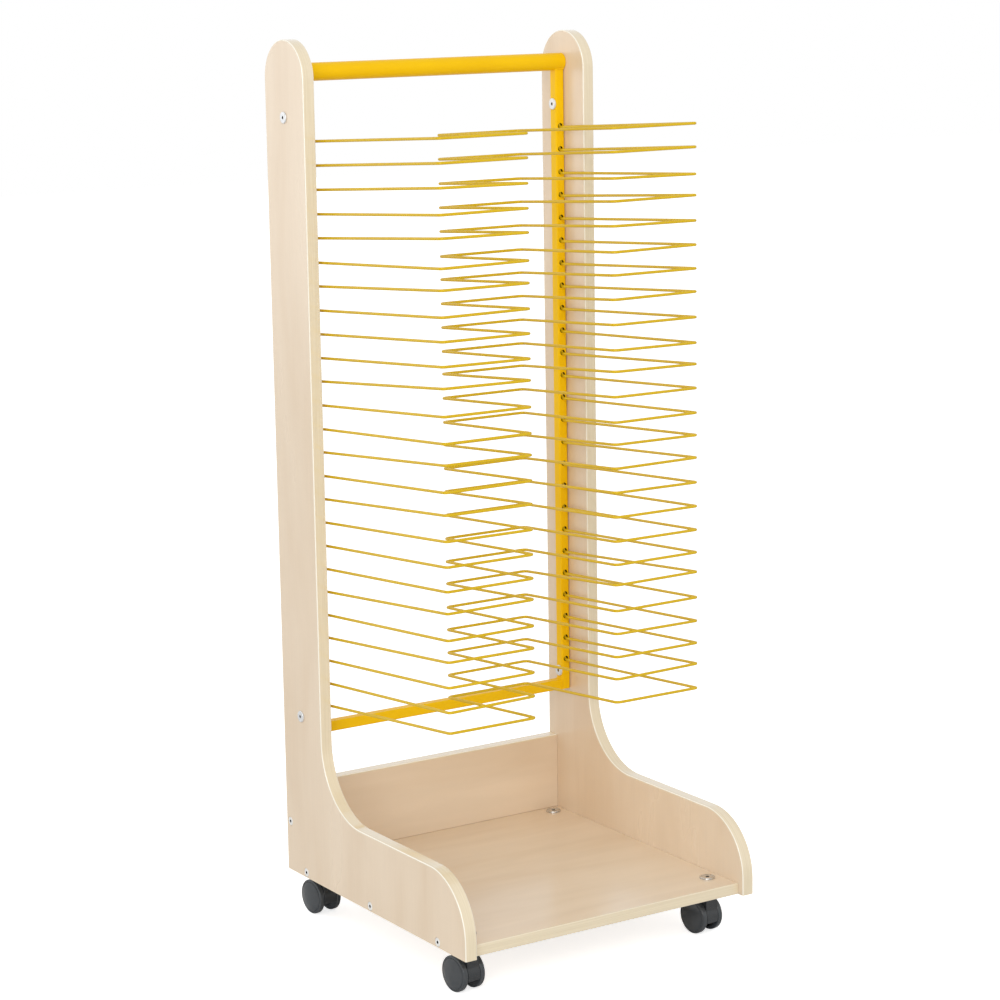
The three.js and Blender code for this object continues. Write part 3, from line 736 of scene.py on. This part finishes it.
# %% [markdown]
# ## Wire shelves
# Each shelf is one 4 mm wire. It starts as a hook inside the left post, runs forward, crosses, goes back
# round an open notch in the middle and ends in the right post's hook. A curve object with a bevel
# could draw it, but a curve's corners are hard to keep at one radius. So the wire is a ring of points
# carried along straight runs and bends: in a bend the ring turns about the bend's own axis.
# Real wires never lie quite level. The upper shelves hang a little low in front and the lower ones stand
# high, and on top of that trend every front corner has a small scatter of its own.

# %% Wire shelf
WIRE_RADIUS = 2 * MM
WIRE_SIDES = 14
NOTCH_BEND = 7 * MM
FRONT_BEND = 4.5 * MM
HOOK_BEND = 5 * MM
HOOK_LEG = 12 * MM
BEND_STEPS = 8
SHELF_TILT = math.radians(4.1)
SHELF_REACH = 338 * MM
SHELF_TAPER = 8.2 * MM
NOTCH_HALF_WIDTH = 67 * MM
NOTCH_START = 112 * MM
HOOK_BEHIND_FRONT = 3.8 * MM
TOP_RISE = -3.3 * MM
BOTTOM_RISE = 3.8 * MM
RISE_SCATTER = 1.9 * MM
RISE_SEED = 529560
post_low, post_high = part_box("post_right")
post_x = (post_low.x + post_high.x) / 2
hook_y = post_low.y + HOOK_BEHIND_FRONT


def turned_vectors(vector, axis, angle):
    """A vector turned about a unit axis by each angle: v cos + (axis x v) sin + axis (axis . v)(1 - cos)."""
    angle = np.asarray(angle)[:, None]
    return (vector * np.cos(angle) + np.cross(axis, vector) * np.sin(angle)
            + axis * np.dot(axis, vector) * (1 - np.cos(angle)))


def bent_wire(corners, bends):
    """Stations of a wire and the frame at each: straight to the start of a bend, then points
    start + R (sin a * heading + (1 - cos a) * inward), with the frame turned by the same angle a."""
    heading = np.diff(corners, axis=0)
    heading /= np.linalg.norm(heading, axis=1, keepdims=True)
    side = np.cross(heading[0], [1.0, 0.0, 0.0])
    side /= np.linalg.norm(side)
    places, sides, alongs = [corners[:1]], [side[None]], [heading[:1]]
    for corner, radius, before, after in zip(corners[1:-1], bends, heading[:-1], heading[1:]):
        axis = np.cross(before, after)
        turn = math.atan2(np.linalg.norm(axis), before @ after)
        axis /= np.linalg.norm(axis)
        angle = np.linspace(0, turn, BEND_STEPS + 1)
        inward = np.cross(axis, before)
        start = corner - before * radius * math.tan(turn / 2)
        places.append(start + radius * (np.sin(angle)[:, None] * before + (1 - np.cos(angle))[:, None] * inward))
        sides.append(turned_vectors(side, axis, angle))
        alongs.append(turned_vectors(before, axis, angle))
        side = sides[-1][-1]
    places.append(corners[-1:])
    sides.append(side[None])
    alongs.append(heading[-1:])
    return np.concatenate(places), np.concatenate(sides), np.concatenate(alongs)


def wire_surface(place, side, along):
    """Rings round the stations: place + radius * (cos * side + sin * (along x side)), with a rounded
    end: two smaller rings and a point beyond each end station."""
    cap_angle = np.radians([40, 75, 90])
    reach = WIRE_RADIUS * 0.5 * np.sin(cap_angle)
    first = place[0] - reach[::-1, None] * along[0]
    last = place[-1] + reach[:, None] * along[-1]
    radius = np.concatenate([np.cos(cap_angle[::-1]), np.ones(len(place)), np.cos(cap_angle)]) * WIRE_RADIUS
    place = np.concatenate([first, place, last])
    side = np.concatenate([np.repeat(side[:1], 3, axis=0), side, np.repeat(side[-1:], 3, axis=0)])
    along = np.concatenate([np.repeat(along[:1], 3, axis=0), along, np.repeat(along[-1:], 3, axis=0)])
    other = np.cross(along, side)
    angle = np.linspace(0, 2 * np.pi, WIRE_SIDES, endpoint=False)[None, :, None]
    ring = np.cos(angle) * side[:, None] + np.sin(angle) * other[:, None]
    return grid_surface(place[:, None] + radius[:, None, None] * ring, wrap_columns=True)


def front_rises():
    """How far the left and right front corners of each shelf stand above an even stack: a straight
    trend from the top shelf to the bottom one, plus a random scatter that is the same at every run."""
    trend = np.linspace(TOP_RISE, BOTTOM_RISE, SHELF_COUNT)[:, None]
    return trend + np.random.default_rng(RISE_SEED).normal(0.0, RISE_SCATTER, (SHELF_COUNT, 2))


def shelf_route(hole_height, rises):
    """Corners of the wire from hook to hook. A point of the shelf lies `ahead` of the posts along the
    tilted shelf. Its rise is blended from the left and right front rises across the shelf, and grows
    evenly from nothing at the hook."""
    knee = hole_height + PIVOT_OVER_HOLE - HOOK_BEND * math.tan((math.pi / 2 + SHELF_TILT) / 2)

    def on_shelf(x, ahead):
        reach = ahead + HOOK_BEHIND_FRONT
        rise = np.interp(x, (-post_x, post_x), rises) * ahead / SHELF_REACH
        return (x, hook_y - reach * math.cos(SHELF_TILT), knee + reach * math.sin(SHELF_TILT) + rise)

    def half(sign):
        return [
            (sign * post_x, hook_y, knee + HOOK_LEG - WIRE_RADIUS / 2), (sign * post_x, hook_y, knee),
            on_shelf(sign * (post_x - SHELF_TAPER), SHELF_REACH), on_shelf(sign * NOTCH_HALF_WIDTH, SHELF_REACH),
            on_shelf(sign * NOTCH_HALF_WIDTH, NOTCH_START),
        ]

    bends = (HOOK_BEND, FRONT_BEND, NOTCH_BEND, NOTCH_BEND)
    return np.array(half(-1) + half(1)[::-1]), bends + bends[::-1]


for number, (hole_height, rises) in enumerate(zip(hole_heights, front_rises()), start=1):
    wire = wire_surface(*bent_wire(*shelf_route(hole_height, rises)))
    # Each wire wears the darker copy of the paint, as painted shade.
    make_piece(f"shelf_wire_{number:02d}", [wire], shaded_wire_paint, f"shelf_{number:02d}",
               [f"wire_shelf_{number:02d}"], crease=60.0)
print("shelves", SHELF_COUNT, "of", len(wire[0]), "points each")

# %% [markdown]
# ## Bolts and screws
# The frame is held by flat-headed connector bolts with sleeve nuts, the tray by sunk board screws. All
# are turned shapes with a hexagon socket. The rings start in the middle of one socket's floor, climb
# its walls, cross the head, run down the shank and end in the other socket.

# %% Connector bolts
CONNECTOR_SOCKET = 4 * MM
CONNECTOR_SHANK = 7 * MM
CONNECTOR_HEAD = 1.7 * MM
HEAD_ROUNDING = 1.0 * MM
SOCKET_DEPTH = 2.4 * MM
SOCKET_EASE = 0.25 * MM
BOLT_SIDES = 48
socket = hexagon(CONNECTOR_SOCKET, BOLT_SIDES)


def socket_head(top, seat, radius, rounding):
    """Rings of a head from the socket's floor to the seat, with `top` above `seat` along the axis."""
    way = 1 if top > seat else -1
    floor = top - way * SOCKET_DEPTH
    edge = [(seat + way * (along - 0), r) for along, r in round_over(abs(top - seat), radius, rounding)]
    return [(floor, 0.0), (floor, socket), (top - way * SOCKET_EASE, socket), (top, socket + SOCKET_EASE),
            *edge[::-1], (seat, radius)]


# These marks place the painted shade inside the sockets.
def socket_marks(surface, dark_rings):
    """Marks for the points of a turned piece: 1 on the rings of its sockets, 0 elsewhere."""
    marks = np.zeros((len(surface[0]) // BOLT_SIDES, BOLT_SIDES))
    marks[list(dark_rings)] = 1.0
    return marks.ravel()


def connector(node, outward):
    """Head outside the panel, shank through it and the post, and the sleeve nut's flat head inside."""
    low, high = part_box(node)
    start, end = (low.x, high.x) if outward > 0 else (-high.x, -low.x)
    radius = (high.z - low.z) / 2
    outer = socket_head(end, end - CONNECTOR_HEAD, radius, HEAD_ROUNDING)
    inner = socket_head(start, start + CONNECTOR_HEAD, radius, HEAD_ROUNDING)
    shank = [(end - CONNECTOR_HEAD, CONNECTOR_SHANK / 2), (start + CONNECTOR_HEAD, CONNECTOR_SHANK / 2)]
    origin = (0.0, (low.y + high.y) / 2, (low.z + high.z) / 2)
    return turned(outer + shank + inner[::-1], origin, (outward, 0, 0), BOLT_SIDES)


for level in ("upper", "lower"):
    for side, outward in (("left", -1), ("right", 1)):
        node = f"frame_bolt_{level}_{side}"
        rings = connector(node, outward)
        # The connectors' sockets are marked for painted shade.
        make_piece(f"connector_{level}_{side}", [rings], dull_zinc, "rack", [node],
                   marks=socket_marks(rings, (0, 1, 2, -3, -2, -1)))
print("connector bolts made, socket", CONNECTOR_SOCKET / MM, "mm")

# %% Board screws and tray bolts
SCREW_SINK = 0.05 * MM
SCREW_ROUNDING = 0.4 * MM
SCREW_CLEARANCE = 0.4 * MM
TRAY_BOLT_ROUNDING = 1.2 * MM
TRAY_BOLT_DISH = 0.5 * MM
TRAY_BOLT_DISH_RADIUS = 8 * MM
TRAY_BOLT_SOCKET = 5 * MM
TRAY_BOLT_SOCKET_DEPTH = 2.4 * MM
TRAY_BOLT_HEAD = 2.2 * MM
TRAY_BOLT_SHANK = 8 * MM


def board_screw(place, sign):
    """A sunk head: the socket's rings, the rounded rim and a short wall down into its hole."""
    origin = on_panel(place, sign * panel_outer)
    rings = socket_head(-SCREW_SINK, -SCREW_HOLE_DEPTH, SCREW_DIAMETER / 2 - SCREW_CLEARANCE, SCREW_ROUNDING)
    return turned(rings + [(-SCREW_HOLE_DEPTH, 0.0)], origin, (sign, 0, 0), BOLT_SIDES)


def tray_bolt(node):
    """A head with a rounded rim, a shallow dish and a hexagon socket, and the shank that is the pin."""
    low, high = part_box(node)
    origin = ((low.x + high.x) / 2, (low.y + high.y) / 2, 0.0)
    seat = high.z - TRAY_BOLT_HEAD
    edge = [(seat + along, r) for along, r in round_over(TRAY_BOLT_HEAD, (high.x - low.x) / 2, TRAY_BOLT_ROUNDING)]
    dish = high.z - TRAY_BOLT_DISH
    floor = high.z - TRAY_BOLT_SOCKET_DEPTH
    wall = hexagon(TRAY_BOLT_SOCKET, BOLT_SIDES)
    rings = [(floor, 0.0), (floor, wall), (dish, wall), (dish, TRAY_BOLT_DISH_RADIUS), *edge[::-1],
             (seat, edge[0][1]), (seat, TRAY_BOLT_SHANK / 2), (low.z, TRAY_BOLT_SHANK / 2), (low.z, 0.0)]
    return turned(rings, origin, (0, 0, 1), BOLT_SIDES)


corners = [f"{end}_{side}" for end in ("front", "back") for side in ("left", "right")]
for side, sign in (("left", -1), ("right", 1)):
    for number, place in enumerate(SCREW_PLACES, start=1):
        rings = board_screw(place, sign)
        # The screws' sockets are marked for painted shade.
        make_piece(f"board_screw_{side}_{number}", [rings], zinc, "rack", marks=socket_marks(rings, (0, 1, 2)))
for corner in corners:
    node = f"caster_bolt_{corner}"
    rings = tray_bolt(node)
    # The tray bolts' sockets are marked for painted shade.
    make_piece(f"tray_bolt_{corner}", [rings], bright_steel, "rack", [node],
               marks=socket_marks(rings, (0, 1)))
print("screws", 2 * len(SCREW_PLACES), "tray bolts", len(corners))

# %% [markdown]
# ## Casters
# A twin-wheel caster has a hood between two domed wheels. Its axle lies behind the swivel pin, so
# the wheels trail. The places come from the joints: the wheel's joint gives the axle's middle and
# direction, and the swivel's joint gives the pin. The hood is a side outline carried along the axle,
# with a Bevel modifier for its moulded edges; the neck and the wheels are turned.

# %% Hood and neck
WHEEL_RADIUS = 25 * MM
HOOD_WIDTH = 20 * MM
HOOD_STEP = 0.3 * MM
HOOD_WALL = 3 * MM
HOOD_FRONT = 18
HOOD_BACK = 150
WEB_FRONT = 35
WEB_BACK = 125
HUB_RADIUS = 6.5 * MM
SADDLE_RISE = 4 * MM
HOOD_EDGE = 0.5 * MM
NECK_RADIUS = 9 * MM
FLANGE_RADIUS = 11 * MM
FLANGE_THICKNESS = 2.5 * MM
UP = np.array([0.0, 0.0, 1.0])


def caster_frame(corner):
    """Middle of the axle, its direction, the way back from it, and the swivel pin's place."""
    wheel = joints[f"wheel_{corner}_outer_spin"]
    axle = np.array(wheel["axis"], float)
    return np.array(wheel["pos_m"]), axle, np.cross(UP, axle), np.array(joints[f"caster_{corner}_swivel"]["pos_m"])


def hood_outline(trail):
    """Side outline about the axle as (back, up) pairs: angles run from the front over the top, with
    back = -radius cos and up = radius sin. Outer wall with the raised saddle under the neck, then
    inner wall, hub and web."""
    outer = WHEEL_RADIUS - HOOD_STEP
    inner = outer - HOOD_WALL
    ahead = trail + np.array([NECK_RADIUS, -NECK_RADIUS])
    rise, fall = np.degrees(np.arccos(ahead / outer))
    saddle = np.column_stack([-ahead, np.full(2, WHEEL_RADIUS + SADDLE_RISE)])

    def span(radius, start, end, steps):
        return arc((0.0, 0.0), radius, 180 - start, 180 - end, steps)

    return np.vstack([
        span(outer, -HOOD_FRONT, rise, 18), saddle, span(outer, fall, HOOD_BACK, 24),
        span(inner, HOOD_BACK, WEB_BACK, 8), span(HUB_RADIUS, WEB_BACK, WEB_FRONT + 360, 32),
        span(inner, WEB_FRONT, -HOOD_FRONT, 14),
    ])


def hood(corner):
    """The outline carried along the axle, with a flat side at each end."""
    middle, axle, back, pin = caster_frame(corner)
    outline = hood_outline(np.dot(middle - pin, back))
    flat = outline[:, :1] * back + outline[:, 1:] * UP
    sides = np.array([-1, 1])[:, None, None] * HOOD_WIDTH / 2 * axle
    points, faces = grid_surface(middle + sides + flat, wrap_columns=True)
    count = len(outline)
    return points, faces + [list(range(count)), list(range(count, 2 * count))]


def neck(corner):
    """Turned collar about the swivel pin, from inside the hood up to a flange under the base."""
    middle, _, _, pin = caster_frame(corner)
    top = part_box(f"caster_housing_{corner}")[1].z
    foot = middle[2] + WHEEL_RADIUS
    flange = top - FLANGE_THICKNESS
    rings = [(foot, 0.0), (foot, NECK_RADIUS), (flange - FLANGE_THICKNESS, NECK_RADIUS),
             (flange - 0.6 * MM, FLANGE_RADIUS - 0.4 * MM), (flange, FLANGE_RADIUS), (top, FLANGE_RADIUS), (top, 0.0)]
    return turned(rings, (pin[0], pin[1], 0.0), UP, sides=40)


for corner in corners:
    housing = make_piece(f"caster_hood_{corner}", [hood(corner), neck(corner)], hood_plastic, f"caster_{corner}",
                         [f"caster_housing_{corner}"])
    edges = housing.modifiers.new("moulded_edges", "BEVEL")
    edges.width = HOOD_EDGE
    edges.segments = 2
    edges.limit_method = "ANGLE"
    edges.angle_limit = math.radians(50)
    housing.modifiers.move(len(housing.modifiers) - 1, 0)
    frame["nodes"][f"caster_axle_{corner}"].data.materials.clear()
    frame["nodes"][f"caster_axle_{corner}"].data.materials.append(zinc)
print("hoods made for", corners)

# %% Wheels
WHEEL_GAP = 0.5 * MM
WHEEL_TREAD = 7.2 * MM
WHEEL_CROWN = 4 * MM
WHEEL_EDGE = 1.2 * MM
WHEEL_RIM = 4.5 * MM
WHEEL_RECESS = 5 * MM
WHEEL_HUB = 7.5 * MM
WHEEL_BORE = 3.3 * MM
BORE_DEPTH = 8.3 * MM
GROOVE_RADIUS = 21.8 * MM
GROOVE_WIDTH = 1.2 * MM
GROOVE_DEPTH = 0.7 * MM


def wheel(corner, way):
    """Rings from the closed bore over the hub and the hollow inner face, round the tread and up the
    dome: rim + crown * (1 - (r / R) squared), a shallow bowl shape, with a groove where the cap sits."""
    middle, axle, _, _ = caster_frame(corner)
    inner = HOOD_WIDTH / 2 + WHEEL_GAP
    outer = inner + WHEEL_TREAD
    rim = WHEEL_RADIUS - WHEEL_RIM
    dome_radius = WHEEL_RADIUS - WHEEL_EDGE
    groove = GROOVE_RADIUS + np.array([0.5, 0.25, -0.25, -0.5]) * GROOVE_WIDTH
    radius = np.concatenate([np.linspace(dome_radius, groove[0], 4), groove[1:3], np.linspace(groove[3], 0, 10)])
    sunk = np.isin(radius, groove[1:3]) * GROOVE_DEPTH
    dome = list(zip(outer + WHEEL_CROWN * (1 - (radius / dome_radius) ** 2) - sunk, radius))
    tread_in = [(2 * inner + WHEEL_EDGE - along, radius) for along, radius
                in round_over(inner + WHEEL_EDGE, WHEEL_RADIUS, WHEEL_EDGE)]
    rings = [(inner + BORE_DEPTH, 0.0), (inner + BORE_DEPTH, WHEEL_BORE), (inner, WHEEL_BORE), (inner, WHEEL_HUB),
             (inner + WHEEL_RECESS, WHEEL_HUB), (inner + WHEEL_RECESS, rim), (inner, rim),
             *tread_in[::-1], *round_over(outer, WHEEL_RADIUS, WHEEL_EDGE), *dome[1:]]
    return turned(rings, middle, way * axle, sides=64)


for corner in corners:
    outward = -1 if corner.endswith("left") else 1
    for place, way in (("outer", outward), ("inner", -outward)):
        make_piece(f"wheel_{corner}_{place}", [wheel(corner, way)], wheel_plastic, f"wheel_{corner}_{place}",
                   [f"caster_wheel_{corner}_{place}"], crease=40.0)
print("wheels", 2 * len(corners))

# %% [markdown]
# ## Floor and light
# The picture has a plain white ground and soft light from the front and the left. A big pale floor
# catches the shadow. The camera sees a little extra glow on it, so that it meets the white of the world
# without more light on the rack. The world is white to the camera and to reflections, and a plain level
# for everything else.

# %% Floor
FLOOR_HALF = 12.0
FLOOR_GLOW = 0.70


def seen_rays(nodes, links):
    """1 for camera, glossy and transmission rays, and 0 for the rays that carry light to surfaces."""
    path = nodes.new("ShaderNodeLightPath")
    source = path.outputs["Is Camera Ray"]
    for other in ("Is Glossy Ray", "Is Transmission Ray"):
        either = nodes.new("ShaderNodeMath")
        either.operation = "MAXIMUM"
        links.new(source, either.inputs[0])
        links.new(path.outputs[other], either.inputs[1])
        source = either.outputs["Value"]
    return source


def floor_finish():
    """Pale matte floor with a faint mottle, and a glow that only the camera sees."""
    finish, nodes, links, shader = new_finish("pale_floor")
    mottle = noise(nodes, links, (6, 6, 6), 3.0)
    links.new(ramp(nodes, links, mottle, [(0.3, grey(0.80)), (0.7, grey(0.82))]), shader.inputs["Base Color"])
    shader.inputs["Roughness"].default_value = 0.9
    shader.inputs["Specular IOR Level"].default_value = 0.0
    shader.inputs["Emission Color"].default_value = grey(1.0)
    glow = nodes.new("ShaderNodeMath")
    glow.operation = "MULTIPLY"
    glow.inputs[1].default_value = FLOOR_GLOW
    links.new(nodes.new("ShaderNodeLightPath").outputs["Is Camera Ray"], glow.inputs[0])
    links.new(glow.outputs["Value"], shader.inputs["Emission Strength"])
    return finish


def make_floor():
    """One flat square of four points under the rack."""
    corner = np.array([(-1, -1, 0), (1, -1, 0), (1, 1, 0), (-1, 1, 0)]) * FLOOR_HALF
    mesh = bpy.data.meshes.new("floor")
    mesh.from_pydata(corner.tolist(), [], [(0, 1, 2, 3)])
    mesh.materials.append(floor_finish())
    ground = bpy.data.objects.new("floor", mesh)
    bpy.context.scene.collection.objects.link(ground)
    return ground


print("floor", make_floor().dimensions[:2])

# %% World and lamps
WORLD_LEVEL = 0.7
LAMP_TARGET = (0.0, 0.0, 0.7)
KEY = {"place": (-2.6, -4.6, 4.2), "size": 2.5, "power": 95}
SIDE = {"place": (-3.6, -3.4, 1.6), "size": 2.0, "power": 45}
SHEEN = {"place": (-1.9, 2.7, 1.2), "size": 1.6, "power": 8}


def make_world():
    """White for camera, glossy and transmission rays, and the plain level for all other rays."""
    world = bpy.data.worlds.new("studio")
    world.use_nodes = True
    nodes, links = world.node_tree.nodes, world.node_tree.links
    nodes.clear()
    level = nodes.new("ShaderNodeMapRange")
    level.inputs["To Min"].default_value = WORLD_LEVEL
    level.inputs["To Max"].default_value = 1.0
    links.new(seen_rays(nodes, links), level.inputs["Value"])
    light = nodes.new("ShaderNodeBackground")
    links.new(level.outputs["Result"], light.inputs["Strength"])
    output = nodes.new("ShaderNodeOutputWorld")
    links.new(light.outputs["Background"], output.inputs["Surface"])
    light.inputs["Color"].default_value = grey(1.0)
    bpy.context.scene.world = world


def make_lamp(name, place, size, power):
    """A square soft box that faces the middle of the rack."""
    data = bpy.data.lights.new(name, "AREA")
    data.size = size
    data.energy = power
    lamp = bpy.data.objects.new(name, data)
    bpy.context.scene.collection.objects.link(lamp)
    lamp.location = place
    lamp.rotation_euler = (Vector(LAMP_TARGET) - Vector(place)).to_track_quat("-Z", "Y").to_euler()


make_world()
make_lamp("key", **KEY)
make_lamp("side", **SIDE)
make_lamp("sheen", **SHEEN)
bpy.context.scene.view_settings.view_transform = "Standard"
print("world level", WORLD_LEVEL, "lamps", [lamp["power"] for lamp in (KEY, SIDE, SHEEN)])
